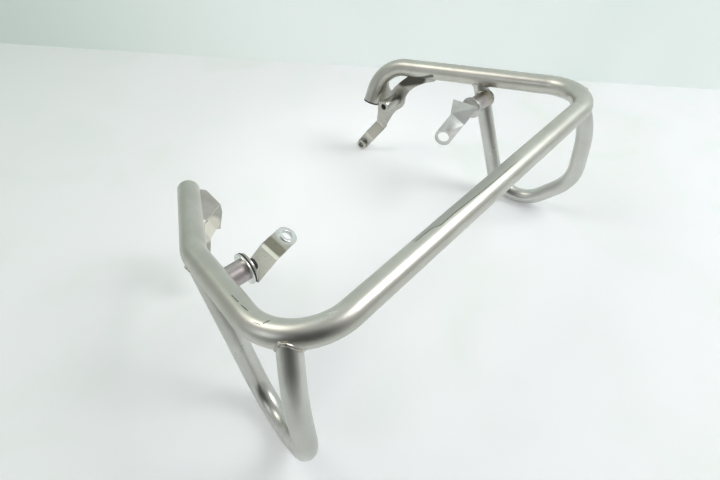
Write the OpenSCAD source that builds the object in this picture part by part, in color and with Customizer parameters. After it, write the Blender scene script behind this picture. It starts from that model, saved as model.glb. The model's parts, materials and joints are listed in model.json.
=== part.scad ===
// Motorcycle crash bars: one bent main tube across the front, a welded loop
// under each arm, stub mounts with bent straps and rear mounting brackets.
// Millimetres. +X is the rider's left, +Y runs rearward, +Z is up, and the
// part rests on the floor on both loops and the left rear boss.

/* [Main tube] */
// Outside diameter of the main tube
main_d = 28; // [25:0.5:32]
// Wall thickness of every tube
wall = 2; // [1.5:0.1:3]
// Half the distance between the two front corners of the main tube
corner_x = 305.4; // [290:0.1:320]
// Centreline radius of the two front bends
front_bend_r = 62; // [50:1:75]
// Centreline radius of the bend near each arm's end
rear_bend_r = 59; // [48:1:70]

/* [Right arm] */
// Right arm bend: distance from the middle of the bike
right_bend_x = 267.5; // [260:0.1:275]
// Right arm bend: distance behind the cross tube
right_bend_y = 190.7; // [180:0.1:200]
// Right arm bend: height above the cross tube
right_bend_z = 5.1; // [0:0.1:10]
// Right arm end: distance from the middle of the bike
right_end_x = 190.2; // [184:0.1:196]
// Right arm end: distance behind the cross tube
right_end_y = 324.7; // [318:0.1:332]
// Right arm end: height against the cross tube
right_end_z = -4.4; // [-9:0.1:0]

/* [Left arm] */
// Left arm bend: distance from the middle of the bike
left_bend_x = 237.7; // [232:0.1:244]
// Left arm bend: distance behind the cross tube
left_bend_y = 351; // [342:0.5:360]
// Left arm bend: height above the cross tube
left_bend_z = 8.7; // [5:0.1:12]
// Left arm end: distance from the middle of the bike
left_end_x = 214.1; // [208:0.1:220]
// Left arm end: distance behind the cross tube
left_end_y = 366.4; // [360:0.1:372]
// Left arm end: height against the cross tube
left_end_z = -51.1; // [-56:0.1:-46]

/* [Side loops] */
// Outside diameter of the loop tubes
loop_d = 24.5; // [20:0.5:26]
// Front leg top: distance from the middle of the bike
loop_top_x = 282.9; // [281:0.1:285]
// Front leg top: distance behind the cross tube
loop_top_y = 23.8; // [22:0.1:26]
// Front leg's bow: distance from the middle of the bike
loop_bow_x = 303; // [298:0.1:304]
// Front leg's bow: distance behind the cross tube
loop_bow_y = 10.5; // [10:0.1:16]
// Front leg's bow: drop below the cross tube
loop_bow_drop = 58.4; // [50:0.1:66]
// Front bottom corner: distance from the middle of the bike
loop_front_x = 302; // [300:0.5:309]
// Front bottom corner: distance behind the cross tube
loop_front_y = 18.5; // [10:0.5:20]
// Front bottom corner: drop below the cross tube
loop_front_drop = 155; // [145:1:175]
// Rear bottom corner: distance from the middle of the bike
loop_rear_x = 272; // [266:0.5:277]
// Rear bottom corner: distance behind the cross tube
loop_rear_y = 129.7; // [126:0.1:138]
// Rear bottom corner: drop below the cross tube
loop_rear_drop = 239.5; // [225:0.5:250]
// Rear leg top: distance from the middle of the bike
loop_arm_x = 271.2; // [268:0.1:276]
// Rear leg top: distance behind the cross tube
loop_arm_y = 179.6; // [175:0.1:186]
// Rear leg top: height above the cross tube
loop_arm_z = 4.8; // [3:0.1:7]
// Centreline radius of the front leg's bow
loop_bow_r = 150; // [100:5:180]
// Centreline radius of the front bottom bend
loop_front_r = 65; // [55:1:70]
// Centreline radius of the rear bottom bend
loop_rear_r = 53; // [44:1:58]
// Size of each weld bead
bead = 3; // [2:0.25:4]

/* [Stub mounts] */
// Outside diameter of the stub bush
bush_d = 26; // [22:0.5:28]
// Stub bush axis: distance behind the cross tube
bush_y = 166; // [162:0.5:171]
// Stub bush axis: drop below the cross tube
bush_drop = 28; // [25:0.5:32]
// Stub bush: its root's distance from the middle of the bike
bush_root_x = 270; // [268:0.5:272]
// Length from the leg's middle to the bush's inner end
bush_len = 37; // [34:0.5:40]
// Forward swing of the right stub mount's inner end
right_yaw = 6; // [0:0.5:9]
// Outside diameter of the steel flange on the bush
flange_d = 38; // [34:0.5:40]
// Thickness of the steel flange
flange_t = 2.5; // [2:0.25:4]
// Outside diameter of the black rubber washer
rubber_d = 37; // [32:0.5:38]
// Thickness of the black rubber washer
rubber_t = 2; // [1.5:0.25:3]
// Diameter of the bolt shank
bolt_d = 8; // [6:0.5:10]
// Width across the flats of the bolt's hexagon head
bolt_af = 13; // [12:0.5:14]
// Height of the bolt head
bolt_head_h = 7; // [5:0.5:8]
// Length of the bolt shank inside the bush
bolt_len = 24; // [20:1:28]

/* [Straps] */
// Thickness of the bent straps
strap_t = 3; // [2.5:0.25:3.5]
// Width of the straps
strap_w = 26.7; // [24:0.1:29]
// Diameter of each strap's round end on the bolt
strap_eye_d = 33; // [31:0.5:34]
// Hole in the left tab
left_hole_d = 17; // [14:0.5:18]
// Hole in the right tab's washer
right_hole_d = 13; // [10:0.5:14]
// Outside diameter of the washer welded on the right tab
tab_washer_d = 21; // [19:0.5:23]
// Thickness of the washer on the right tab
tab_washer_t = 1.5; // [1:0.25:2]

/* [Left rear bracket] */
// Thickness of the rear bracket plates
plate_t = 5; // [4:0.25:6]
// Outside diameter of the long boss
long_boss_d = 20; // [18:0.5:22]
// Length of the long boss on its axis
long_boss_len = 36; // [32:0.5:40]
// Bore of the long boss and of the small ones
boss_bore_d = 10; // [8:0.5:11]
// Turn of the left bracket plate away from straight back
plate_yaw = 10.8; // [9:0.2:12]
// Outside diameter of the small boss
small_boss_d = 18; // [16:0.5:20]
// Length of the small boss
small_boss_len = 20; // [18:0.5:24]
// Width of the bent tongues that carry the small boss and the right foot
tongue_w = 21; // [18:0.5:22]
// Length of the left tongue's slope
slope_len = 27; // [24:0.5:30]
// Angle of the left tongue's slope to the plate
slope_pitch = 33; // [26:1:38]
// Reach from the slope to the small boss
lug_len = 27.8; // [24:0.1:32]
// Thickness of the black plug's flange on the left arm end
plug_flange_t = 2.5; // [2:0.25:3]
// Depth of the plug in the left arm's end
plug_len = 12; // [8:1:16]

/* [Right rear bracket] */
// Right bracket plate: distance behind the cross tube
right_plate_y = 325; // [320:0.5:330]
// Reach of the right bracket's slope towards the front
step_reach = 10; // [8:0.5:12]
// Length of the right bracket's foot
foot_len = 42; // [38:0.5:46]
// Hole in the right bracket's foot
foot_hole_d = 9; // [6:0.5:11]

/* [Rest] */
// Lean of the cross tube's plane from level as the part rests
floor_tilt = 11.6; // [8:0.1:14]
// Height of the cross tube's middle above the floor
rest_height = 229.1; // [220:0.1:240]
// Shift that brings the origin under the part's middle
rest_shift = -174; // [-185:0.1:-165]

/* [Hidden] */
$fn = 64;
joint = 0.5;
bevel = 8;
arc_steps = 4;
arc_share = 0.45;
reach = 30;
steel = [0.66, 0.65, 0.61];
bright = [0.78, 0.79, 0.78];
tint = [0.48, 0.42, 0.40];
weld_grey = [0.55, 0.53, 0.50];
black = [0.06, 0.06, 0.06];
swell = 0.05;
overlap = 1.5;
main_r = main_d / 2;
loop_r = loop_d / 2;
bush_r = bush_d / 2;
corner_round = 6;

eye_at = bush_len + flange_t + rubber_t;

// Path corners, seen in the cross tube's own plane
front_r = [-corner_x, 0, 0];
front_l = [corner_x, 0, 0];
right_end = [-right_end_x, right_end_y, right_end_z];
right_bend = [-right_bend_x, right_bend_y, right_bend_z];
left_bend = [left_bend_x, left_bend_y, left_bend_z];
left_end = [left_end_x, left_end_y, left_end_z];
main_path = [right_end, right_bend, front_r, front_l, left_bend, left_end];
main_bends = [0, rear_bend_r, front_bend_r, front_bend_r, rear_bend_r, 0];
leg_top = [loop_top_x, loop_top_y, 0];
leg_bow = [loop_bow_x, loop_bow_y, -loop_bow_drop];
leg_front = [loop_front_x, loop_front_y, -loop_front_drop];
leg_rear = [loop_rear_x, loop_rear_y, -loop_rear_drop];
leg_arm = [loop_arm_x, loop_arm_y, loop_arm_z];
loop_path = [leg_top, leg_bow, leg_front, leg_rear, leg_arm];
loop_bends = [0, loop_bow_r, loop_front_r, loop_rear_r, 0];

// Strap edges, front end then back end, drawn for the left side
crease = [[192, 157.3, -41], [192, 180, -27]];
right_base = [[226.6, 150.7, -45.5], [226.6, 171.2, -33]];
left_lip = [[227, 154, -31], [227, 180, -27]];
left_base = [[224, 152.4, -24.4], [214, 191, -15.5]];
left_hole = [156.8, 170.5, -47.8];
right_hole = [156.8, 181.2, -40];

function unit(v) = v / norm(v);
function turn(a, b, c) = acos(unit(b - a) * unit(c - b));
function setback(path, bends, i) =
  (i == 0 || i == len(path) - 1) ? 0
  : bends[i] * tan(turn(path[i - 1], path[i], path[i + 1]) / 2);
function square_to(v) =
  abs(v.z) < 0.9 ? unit(cross(v, [0, 0, 1])) : unit(cross(v, [1, 0, 0]));
function columns(x, y, z, o) = [[x.x, y.x, z.x, o.x], [x.y, y.y, z.y, o.y],
  [x.z, y.z, z.z, o.z], [0, 0, 0, 1]];

// The same path, a little longer at both ends
function lengthened(path) = [for (i = [0 : len(path) - 1])
  i == 0 ? path[0] + unit(path[0] - path[1]) * joint
  : i == len(path) - 1 ? path[i] + unit(path[i] - path[i - 1]) * joint
  : path[i]];

// Points on a rounded outline: every corner becomes a short arc
function rounded(pts, r) = [for (i = [0 : len(pts) - 1])
  let (b = pts[i], a = pts[(i + len(pts) - 1) % len(pts)],
    c = pts[(i + 1) % len(pts)], u = unit(a - b), v = unit(c - b),
    cut = min(r, norm(a - b) * arc_share, norm(c - b) * arc_share))
  for (k = [0 : arc_steps]) let (t = k / arc_steps)
    (1 - t) * (1 - t) * (b + u * cut) + 2 * t * (1 - t) * b + t * t * (b + v * cut)];

// Stands children() on the line from a towards b
module along(a, b) {
  z = unit(b - a);
  x = square_to(z);
  multmatrix(columns(x, cross(z, x), z, a)) children();
}

// The straight run that leaves corner i, or with a bore the tube round it
module straight_run(path, bends, i, r, bore_r = 0, over = 0) {
  u = unit(path[i + 1] - path[i]);
  last = i == len(path) - 2;
  a = path[i] + u * (setback(path, bends, i) - (i == 0 ? 0 : over));
  b = path[i + 1] - u * (setback(path, bends, i + 1) - (last ? 0 : over));
  along(a, b) linear_extrude(norm(b - a)) section(r, bore_r);
}

// The bend at corner i, as a bar or a tube
module bend(path, bends, i, r, bore_r = 0) {
  u = unit(path[i] - path[i - 1]);
  v = unit(path[i + 1] - path[i]);
  inward = unit(v - u * (u * v));
  start = path[i] - u * setback(path, bends, i);
  multmatrix(columns(-inward, u, cross(-inward, u), start + inward * bends[i]))
    rotate_extrude(angle = turn(path[i - 1], path[i], path[i + 1]))
      translate([bends[i], 0]) section(r, bore_r);
}

// A disc, or a ring when there is a bore
module section(r, bore_r) {
  if (bore_r > 0) difference() {
    circle(r = r);
    circle(r = bore_r);
  } else circle(r = r);
}

// A bent tube, or a bar without a bore. Each bend is thicker by swell on
// both faces, so the straight runs end inside it.
module tube(path, bends, r, bore_r = 0) {
  for (i = [0 : len(path) - 2])
    straight_run(path, bends, i, r, bore_r, overlap);
  for (i = [1 : len(path) - 2])
    bend(path, bends, i, r + swell, bore_r > 0 ? bore_r - swell : 0);
}

module main_bar(grow = 0) {
  tube(main_path, main_bends, main_r + grow);
}

module loop_bar(grow = 0) {
  tube(loop_path, loop_bends, loop_r + grow);
}

// Leans the cross tube's plane back and drops the part onto the floor
module rest() {
  translate([0, rest_shift, rest_height]) rotate([-floor_tilt, 0, 0]) children();
}

module right_side() {
  mirror([1, 0, 0]) children();
}

module main_tube() {
  color(steel) rest() tube(main_path, main_bends, main_r, main_r - wall);
}

// One loop, drawn for the left side; its ends are coped to the main tube
module loop_tube() {
  tube(loop_path, loop_bends, loop_r, loop_r - wall);
}

module left_loop() {
  color(steel) rest() difference() {
    loop_tube();
    main_bar();
  }
}

module right_loop() {
  color(steel) rest() difference() {
    right_side() loop_tube();
    main_bar();
  }
}

// A bead round a leg where it meets the main tube
module leg_bead(a, b) {
  intersection() {
    along(a, b) cylinder(h = reach, r = loop_r + bead);
    main_bar(bead);
  }
}

module left_front_weld() {
  color(weld_grey) rest() difference() {
    leg_bead(leg_top, leg_bow);
    main_bar();
    loop_bar();
  }
}

module right_front_weld() {
  color(weld_grey) rest() difference() {
    intersection() {
      right_side() along(leg_top, leg_bow) cylinder(h = reach, r = loop_r + bead);
      main_bar(bead);
    }
    main_bar();
    right_side() loop_bar();
  }
}

module left_rear_weld() {
  color(weld_grey) rest() difference() {
    leg_bead(leg_arm, leg_rear);
    main_bar();
    loop_bar();
  }
}

module right_rear_weld() {
  color(weld_grey) rest() difference() {
    intersection() {
      right_side() along(leg_arm, leg_rear) cylinder(h = reach, r = loop_r + bead);
      main_bar(bead);
    }
    main_bar();
    right_side() loop_bar();
  }
}

// Stub mount frame: Z runs inward along the bolt, drawn for the left side
module stub(yaw) {
  translate([bush_root_x, bush_y, -bush_drop]) rotate([0, 0, yaw])
    rotate([0, -90, 0]) children();
}

module bush_part(yaw) {
  difference() {
    stub(yaw) difference() {
      cylinder(h = bush_len, r = bush_r);
      translate([0, 0, bush_len - bolt_len]) cylinder(h = bolt_len + joint, d = bolt_d);
    }
    loop_bar();
    main_bar();
  }
}

module bush_bead(yaw) {
  difference() {
    intersection() {
      stub(yaw) cylinder(h = reach, r = bush_r + bead);
      loop_bar(bead);
    }
    loop_bar();
    main_bar(bead);
    stub(yaw) cylinder(h = reach, r = bush_r);
  }
}

module ring(yaw, d, bore, t, at) {
  stub(yaw) translate([0, 0, at]) difference() {
    cylinder(h = t, d = d);
    translate([0, 0, -joint]) cylinder(h = t + 2 * joint, d = bore);
  }
}

module left_bush() {
  color(tint) rest() bush_part(0);
}

module right_bush() {
  color(tint) rest() right_side() bush_part(right_yaw);
}

module left_bush_weld() {
  color(weld_grey) rest() bush_bead(0);
}

module right_bush_weld() {
  color(weld_grey) rest() right_side() bush_bead(right_yaw);
}

module left_flange() {
  color(bright) rest() ring(0, flange_d, bolt_d, flange_t, bush_len);
}

module right_flange() {
  color(bright) rest() right_side()
    ring(right_yaw, flange_d, bolt_d, flange_t, bush_len);
}

module left_rubber() {
  color(black) rest() ring(0, rubber_d, bolt_d, rubber_t, bush_len + flange_t);
}

module right_rubber() {
  color(black) rest() right_side()
    ring(right_yaw, rubber_d, bolt_d, rubber_t, bush_len + flange_t);
}

module right_bolt() {
  color(black) rest() right_side() stub(right_yaw) {
    translate([0, 0, bush_len - bolt_len])
      cylinder(h = bolt_len + eye_at - bush_len + strap_t, d = bolt_d);
    translate([0, 0, eye_at + strap_t])
      cylinder(h = bolt_head_h, d = bolt_af / cos(30), $fn = 6);
  }
}

// A flat wall of thickness t between the edge a-b and the edge c-d
module leaf(a, b, c, d, t) {
  hull() {
    along(a, b) cylinder(h = norm(b - a), d = t, $fn = bevel);
    along(c, d) cylinder(h = norm(d - c), d = t, $fn = bevel);
  }
}

// Tab frame: X runs from the crease towards the hole, Y along the crease
module tab_frame(front, back, hole) {
  y = unit(back - front);
  mid = (front + back) / 2;
  x = unit((hole - mid) - y * ((hole - mid) * y));
  multmatrix(columns(x, y, cross(x, y), hole)) children();
}

// A bent strap: the round eye on the bolt, a leaf up or down to the base edge,
// a leaf on to the crease, and the tab with its hole
module strap(yaw, lip, base, crease, hole, hole_d) {
  stub_y = unit(crease[1] - crease[0]);
  skew = (hole - (crease[0] + crease[1]) / 2) * stub_y;
  run = norm(hole - (crease[0] + crease[1]) / 2 - stub_y * skew);
  difference() {
    union() {
      stub(yaw) translate([0, 0, eye_at]) cylinder(h = strap_t, d = strap_eye_d);
      leaf(lip[0], lip[1], base[0], base[1], strap_t);
      leaf(base[0], base[1], crease[0], crease[1], strap_t);
      tab_frame(crease[0], crease[1], hole) translate([0, 0, -strap_t / 2]) {
        cylinder(h = strap_t, d = strap_w);
        linear_extrude(strap_t) polygon([[0, strap_w / 2], [-run, strap_w / 2 - skew],
          [-run, -strap_w / 2 - skew], [0, -strap_w / 2]]);
      }
    }
    tab_frame(crease[0], crease[1], hole) translate([0, 0, -strap_t])
      cylinder(h = 2 * strap_t, d = hole_d);
    stub(yaw) translate([0, 0, eye_at - reach]) cylinder(h = reach, d = flange_d + joint);
    stub(yaw) translate([0, 0, eye_at - joint])
      cylinder(h = strap_t + 2 * joint, d = bolt_d);
  }
}

module left_strap() {
  color(bright) rest() strap(0, left_lip, left_base, crease, left_hole, left_hole_d);
}

module right_strap() {
  color(steel) rest() difference() {
    right_side() strap(right_yaw, right_base, right_base, crease, right_hole, right_hole_d);
    right_side() stub(right_yaw) translate([0, 0, eye_at + strap_t])
      cylinder(h = bolt_head_h + joint, d = bolt_af / cos(30) + joint);
  }
}

module tab_washer() {
  color(bright) rest() right_side() tab_frame(crease[0], crease[1], right_hole)
    mirror([0, 0, 1]) translate([0, 0, strap_t / 2]) difference() {
      cylinder(h = tab_washer_t, d = tab_washer_d);
      translate([0, 0, -joint]) cylinder(h = tab_washer_t + 2 * joint, d = right_hole_d);
    }
}

// Left bracket plane: X along the arm, Y up, Z towards the bike's middle
plate_at = [240, 300, 0];
plate_edge = [[-52, 4], [-52, -8], [-31, -13], [-12, -22], [2, -33], [10, -45],
  [12, -56], [17, -64], [29, -71], [40, -83], [58, -112], [73, -98], [68, -81],
  [66, -65], [64, -50], [62, -20], [41, -14], [42, -30], [37, -37], [29, -27],
  [16, -16], [2, -6], [-10, 4]];
tongue_at = [65.5, -105];
tongue_turn = -46.9;
tongue_root = 6;
long_boss_at = [26, -49];
long_boss_end = plate_at + [-long_boss_at.x * tan(plate_yaw) - long_boss_len,
  long_boss_at.x, long_boss_at.y];
boss_proud = 6.3;
slope_out = slope_len * cos(slope_pitch);
slope_rise = slope_len * sin(slope_pitch);

module plate_frame() {
  translate(plate_at) rotate([0, 0, 90 + plate_yaw]) rotate([90, 0, 0]) mirror([0, 0, 1])
    children();
}

// The tongue's own frame: X down its slope, Z from the plate's inner face
module tongue_frame() {
  translate([tongue_at.x, tongue_at.y, 0]) rotate([0, 0, tongue_turn]) children();
}

// The small boss's frame: the lug's middle, on its inner face
module lug_frame() {
  tongue_frame() translate([slope_out + lug_len, 0, slope_rise]) children();
}

// The bent tongue: root in the plate, a slope, and a flat lug round the boss
module tongue() {
  shift = plate_t * tan(slope_pitch / 2);
  end = slope_out + lug_len;
  low = slope_rise - plate_t;
  difference() {
    union() {
      tongue_frame() translate([0, tongue_w / 2, 0]) rotate([90, 0, 0])
        linear_extrude(tongue_w) polygon([[-tongue_root, 0], [0, 0],
          [slope_out, slope_rise], [end, slope_rise], [end, low],
          [slope_out + shift, low], [shift, -plate_t], [-tongue_root, -plate_t]]);
      lug_frame() translate([0, 0, -plate_t]) cylinder(h = plate_t, d = tongue_w);
    }
    lug_frame() translate([0, 0, -plate_t - joint])
      cylinder(h = plate_t + 2 * joint, d = small_boss_d);
  }
}

module boss(length, d) {
  difference() {
    cylinder(h = length, d = d);
    translate([0, 0, -joint]) cylinder(h = length + 2 * joint, d = boss_bore_d);
  }
}

module left_plate() {
  color(steel) rest() difference() {
    plate_frame() {
      translate([0, 0, -plate_t]) linear_extrude(plate_t)
        polygon(rounded(plate_edge, corner_round));
      tongue();
    }
    main_bar();
    translate(long_boss_end) rotate([0, 90, 0]) cylinder(h = 2 * reach, d = boss_bore_d);
  }
}

// The long boss ends on the plate's inner face
module left_long_boss() {
  color(steel) rest() difference() {
    translate(long_boss_end) rotate([0, 90, 0]) boss(2 * reach, long_boss_d);
    plate_frame() translate([-2 * reach, -3 * reach, -3 * reach])
      cube([6 * reach, 4 * reach, 3 * reach]);
    main_bar();
  }
}

module left_small_boss() {
  color(steel) rest() plate_frame() lug_frame()
    translate([0, 0, boss_proud - small_boss_len]) boss(small_boss_len, small_boss_d);
}

module left_plug() {
  u = unit(left_end - left_bend);
  color(black) rest() along(left_end - u * plug_len, left_end) {
    cylinder(h = plug_len, r = main_r - wall);
    translate([0, 0, plug_len]) cylinder(h = plug_flange_t, r = main_r);
  }
}

// Right bracket outlines in upright planes across the bike: X to the left, Y up
right_edge = [[-198, -16], [-194, -8], [-180, -7], [-175, -13], [-166, -19], [-154, -48],
  [-155, -60], [-166, -83], [-172, -80], [-179, -61], [-190, -50], [-198, -40]];
step_top = [[-179, -61], [-172, -80]];
step_low = [for (p = step_top) p + [-17, -1]];
foot_lean = 20.8;

// A flat piece of plate in the upright plane at distance y behind the cross tube
module upright(y) {
  translate([0, y + plate_t, 0]) rotate([90, 0, 0]) linear_extrude(plate_t) children();
}

// The slope between the bend lines of the upper plate and of the foot
module right_step(step_y) {
  front = [for (p = step_top) [p.x, right_plate_y, p.y],
    [step_low[1].x, step_y, step_low[1].y], [step_low[0].x, step_y, step_low[0].y]];
  polyhedron([each front, for (p = front) p + [0, plate_t, 0]],
    [[0, 1, 2, 3], [7, 6, 5, 4], [1, 0, 4, 5], [2, 1, 5, 6], [3, 2, 6, 7], [0, 3, 7, 4]]);
}

module right_bracket() {
  down = [-sin(foot_lean), -cos(foot_lean)];
  side = [-cos(foot_lean), sin(foot_lean)] * tongue_w;
  tip = step_low[1] + down * foot_len;
  step_y = right_plate_y - step_reach;
  color(steel) rest() difference() {
    union() {
      upright(right_plate_y) polygon(right_edge);
      right_step(step_y);
      upright(step_y) polygon([step_low[0], step_low[1], tip, tip + side, step_low[1] + side]);
      upright(step_y) translate(tip + side / 2) circle(d = tongue_w);
    }
    main_bar();
    translate([tip.x + side.x / 2, step_y + plate_t + joint, tip.y + side.y / 2])
      rotate([90, 0, 0]) cylinder(h = plate_t + 2 * joint, d = foot_hole_d);
  }
}

main_tube();
right_loop();
left_loop();
right_front_weld();
left_front_weld();
right_rear_weld();
left_rear_weld();
right_bush();
left_bush();
right_bush_weld();
left_bush_weld();
right_flange();
left_flange();
right_rubber();
left_rubber();
right_strap();
left_strap();
right_bolt();
tab_washer();
left_plate();
left_long_boss();
left_small_boss();
left_plug();
right_bracket();
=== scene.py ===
"""Studio scene of a set of motorcycle crash bars.

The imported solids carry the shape. This script gives every one of them its
finish, lays rippled weld beads in the joints, fits the bolt head and builds
the pale studio round the part. Metres, +Z up, in the part's own frame.
"""

from __future__ import annotations

import json
import logging
import math
from dataclasses import dataclass, field
from enum import Enum

import bpy
import numpy as np
from mathutils import Matrix, Vector

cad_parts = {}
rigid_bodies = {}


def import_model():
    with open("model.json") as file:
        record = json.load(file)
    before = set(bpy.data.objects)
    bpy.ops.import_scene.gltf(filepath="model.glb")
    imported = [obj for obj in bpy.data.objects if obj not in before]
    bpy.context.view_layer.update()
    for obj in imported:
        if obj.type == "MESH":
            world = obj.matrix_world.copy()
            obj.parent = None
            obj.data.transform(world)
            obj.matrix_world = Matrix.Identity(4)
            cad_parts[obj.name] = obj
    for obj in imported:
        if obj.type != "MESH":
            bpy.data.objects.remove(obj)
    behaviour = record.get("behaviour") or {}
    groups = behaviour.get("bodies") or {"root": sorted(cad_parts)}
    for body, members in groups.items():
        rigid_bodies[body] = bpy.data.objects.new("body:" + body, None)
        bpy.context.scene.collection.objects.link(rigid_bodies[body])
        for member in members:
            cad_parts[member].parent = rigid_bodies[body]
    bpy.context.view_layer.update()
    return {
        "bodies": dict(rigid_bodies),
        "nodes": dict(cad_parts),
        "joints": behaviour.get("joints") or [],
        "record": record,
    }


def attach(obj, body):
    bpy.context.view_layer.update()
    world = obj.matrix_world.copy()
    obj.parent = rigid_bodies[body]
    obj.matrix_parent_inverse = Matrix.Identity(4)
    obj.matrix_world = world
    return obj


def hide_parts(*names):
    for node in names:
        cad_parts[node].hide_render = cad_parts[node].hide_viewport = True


LOG = logging.getLogger("crash_bars")

Colour = tuple[float, float, float]
Point = tuple[float, float, float]


class Slot(Enum):
    """The record's material slots."""

    TUBE = "tube_steel"
    BRIGHT = "bright_steel"
    TINTED = "tinted_steel"
    WELD = "weld"
    RUBBER = "black_rubber"
    BOLT = "black_bolt"
    PLUG = "black_plug"


class Side(Enum):
    """The rider's right is -X and the rider's left is +X."""

    RIGHT = -1
    LEFT = 1


@dataclass(frozen=True)
class Rest:
    """How the cross tube's own plane lies over the floor."""

    lean: float = math.radians(11.6)
    height: float = 0.2291
    shift: float = -0.174

    def turn(self) -> Matrix:
        """Returns the turn from the cross tube's plane to the floor's frame."""
        return Matrix.Rotation(-self.lean, 4, "X")

    def place(self, x: float, y: float, z: float) -> Vector:
        """Moves a point of the cross tube's plane to the floor's frame.

        Args:
            x: Distance to the rider's left, in millimetres.
            y: Distance behind the cross tube, in millimetres.
            z: Height above the cross tube, in millimetres.

        Returns:
            The point in metres.
        """
        turned = self.turn() @ Vector((x, y, z)) / 1000
        return turned + Vector((0, self.shift, self.height))


REST = Rest()


@dataclass(frozen=True)
class Stub:
    """Sizes of the stub mounts in millimetres, the same as in the part's source."""

    root_x: float = 270.0
    root_y: float = 166.0
    drop: float = 28.0
    radius: float = 13.0
    length: float = 37.0
    flange: float = 2.5
    rubber: float = 2.0
    strap: float = 3.0
    right_yaw: float = math.radians(6)

    def root(self, side: Side) -> Point:
        """Returns the middle of the stub's root on one side."""
        return (side.value * self.root_x, self.root_y, -self.drop)

    def yaw(self, side: Side) -> float:
        """Returns how far the stub's inner end swings forward."""
        return self.right_yaw if side is Side.RIGHT else 0.0

    def stack(self) -> float:
        """Returns the distance from the root to the strap's seat."""
        return self.length + self.flange + self.rubber


STUB = Stub()


# Materials


class NodeTree:
    """Adds and links the nodes of one material or world."""

    def __init__(self, tree: bpy.types.NodeTree) -> None:
        """Empties the tree."""
        self.tree = tree
        self.tree.nodes.clear()

    def add(self, kind: str, inputs: dict | None = None, **settings: object) -> bpy.types.Node:
        """Adds one node.

        Args:
            kind: Blender's name of the node type.
            inputs: Values or sockets by input name or number.
            **settings: Properties of the node itself.

        Returns:
            The new node.
        """
        node = self.tree.nodes.new(kind)
        for name, value in settings.items():
            setattr(node, name, value)
        for key, value in (inputs or {}).items():
            if isinstance(value, bpy.types.NodeSocket):
                self.tree.links.new(value, node.inputs[key])
            else:
                node.inputs[key].default_value = value
        return node

    def noise(self, vector: bpy.types.NodeSocket, grain: float, detail: float = 2.0,
              rough: float = 0.5, warp: float = 0.0) -> bpy.types.NodeSocket:
        """Returns a noise factor.

        Args:
            vector: Where the pattern is read.
            grain: Size of one blot, in metres.
            detail: Finer octaves.
            rough: Strength of the finer octaves.
            warp: Distortion of the pattern.

        Returns:
            A socket that varies round 0.5.
        """
        return self.add("ShaderNodeTexNoise", {
            "Vector": vector, "Scale": 1.0 / grain, "Detail": detail,
            "Roughness": rough, "Distortion": warp}).outputs["Fac"]

    def remap(self, value: bpy.types.NodeSocket, low: float, high: float,
              to_low: float = 0.0, to_high: float = 1.0) -> bpy.types.NodeSocket:
        """Returns value moved smoothly from one range to another, clamped."""
        return self.add("ShaderNodeMapRange", {
            "Value": value, "From Min": low, "From Max": high,
            "To Min": to_low, "To Max": to_high}, interpolation_type="SMOOTHSTEP").outputs[0]

    def maths(self, operation: str, first: object, second: object = 0.0) -> bpy.types.NodeSocket:
        """Returns the result of a sum on two numbers or sockets."""
        return self.add("ShaderNodeMath", {0: first, 1: second}, operation=operation).outputs[0]

    def mix(self, factor: object, first: object, second: object,
            blend: str = "MIX") -> bpy.types.NodeSocket:
        """Returns a mix of two colours.

        Args:
            factor: Share of the second colour, a number or a socket.
            first: A colour or a socket.
            second: A colour or a socket.
            blend: Blender's name of the blend type.

        Returns:
            The mixed colour.
        """
        def four(value: object) -> object:
            """Gives a plain colour its fourth number."""
            return (*value, 1.0) if isinstance(value, tuple) and len(value) == 3 else value
        node = self.add("ShaderNodeMix", {0: factor, 6: four(first), 7: four(second)},
                        data_type="RGBA", blend_type=blend)
        return node.outputs[2]

    def stroke(self, vector: bpy.types.NodeSocket, start: Point, end: Point, width: float,
               ragged: float = 0.0) -> bpy.types.NodeSocket:
        """Returns the mask of one scratch.

        Args:
            vector: Where the pattern is read.
            start: One end of the scratch.
            end: The other end of the scratch.
            width: Full width of the scratch, in metres.
            ragged: How far its edges stray, in metres.

        Returns:
            1 on the scratch and 0 off it.
        """
        start_at, run = Vector(start), Vector(end) - Vector(start)
        along = self.add("ShaderNodeVectorMath", {0: vector, 1: start_at},
                         operation="SUBTRACT").outputs[0]
        reach = self.add("ShaderNodeVectorMath", {0: along, 1: run.normalized()},
                         operation="DOT_PRODUCT").outputs["Value"]
        held = self.add("ShaderNodeClamp", {0: reach, 1: 0.0, 2: run.length}).outputs[0]
        foot = self.add("ShaderNodeVectorMath", {0: run.normalized(), "Scale": held},
                        operation="SCALE").outputs[0]
        away = self.add("ShaderNodeVectorMath", {0: along, 1: foot},
                        operation="DISTANCE").outputs["Value"]
        if ragged:
            stray = self.maths("MULTIPLY", self.maths(
                "SUBTRACT", self.noise(vector, 0.002, 3.0, 0.7), 0.5), ragged * 2)
            away = self.maths("ADD", away, stray)
        return self.remap(away, width * 0.35, width * 0.6, 1.0, 0.0)

    def union(self, masks: list[bpy.types.NodeSocket]) -> bpy.types.NodeSocket:
        """Returns the highest of several masks."""
        total = masks[0]
        for mask in masks[1:]:
            total = self.maths("MAXIMUM", total, mask)
        return total


@dataclass(frozen=True)
class Stroke:
    """One scratch, mark or painted highlight line on a surface, in the part's frame, in metres.
    """

    start: Point
    end: Point
    width: float
    ragged: float = 0.0
    bright: bool = False


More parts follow.
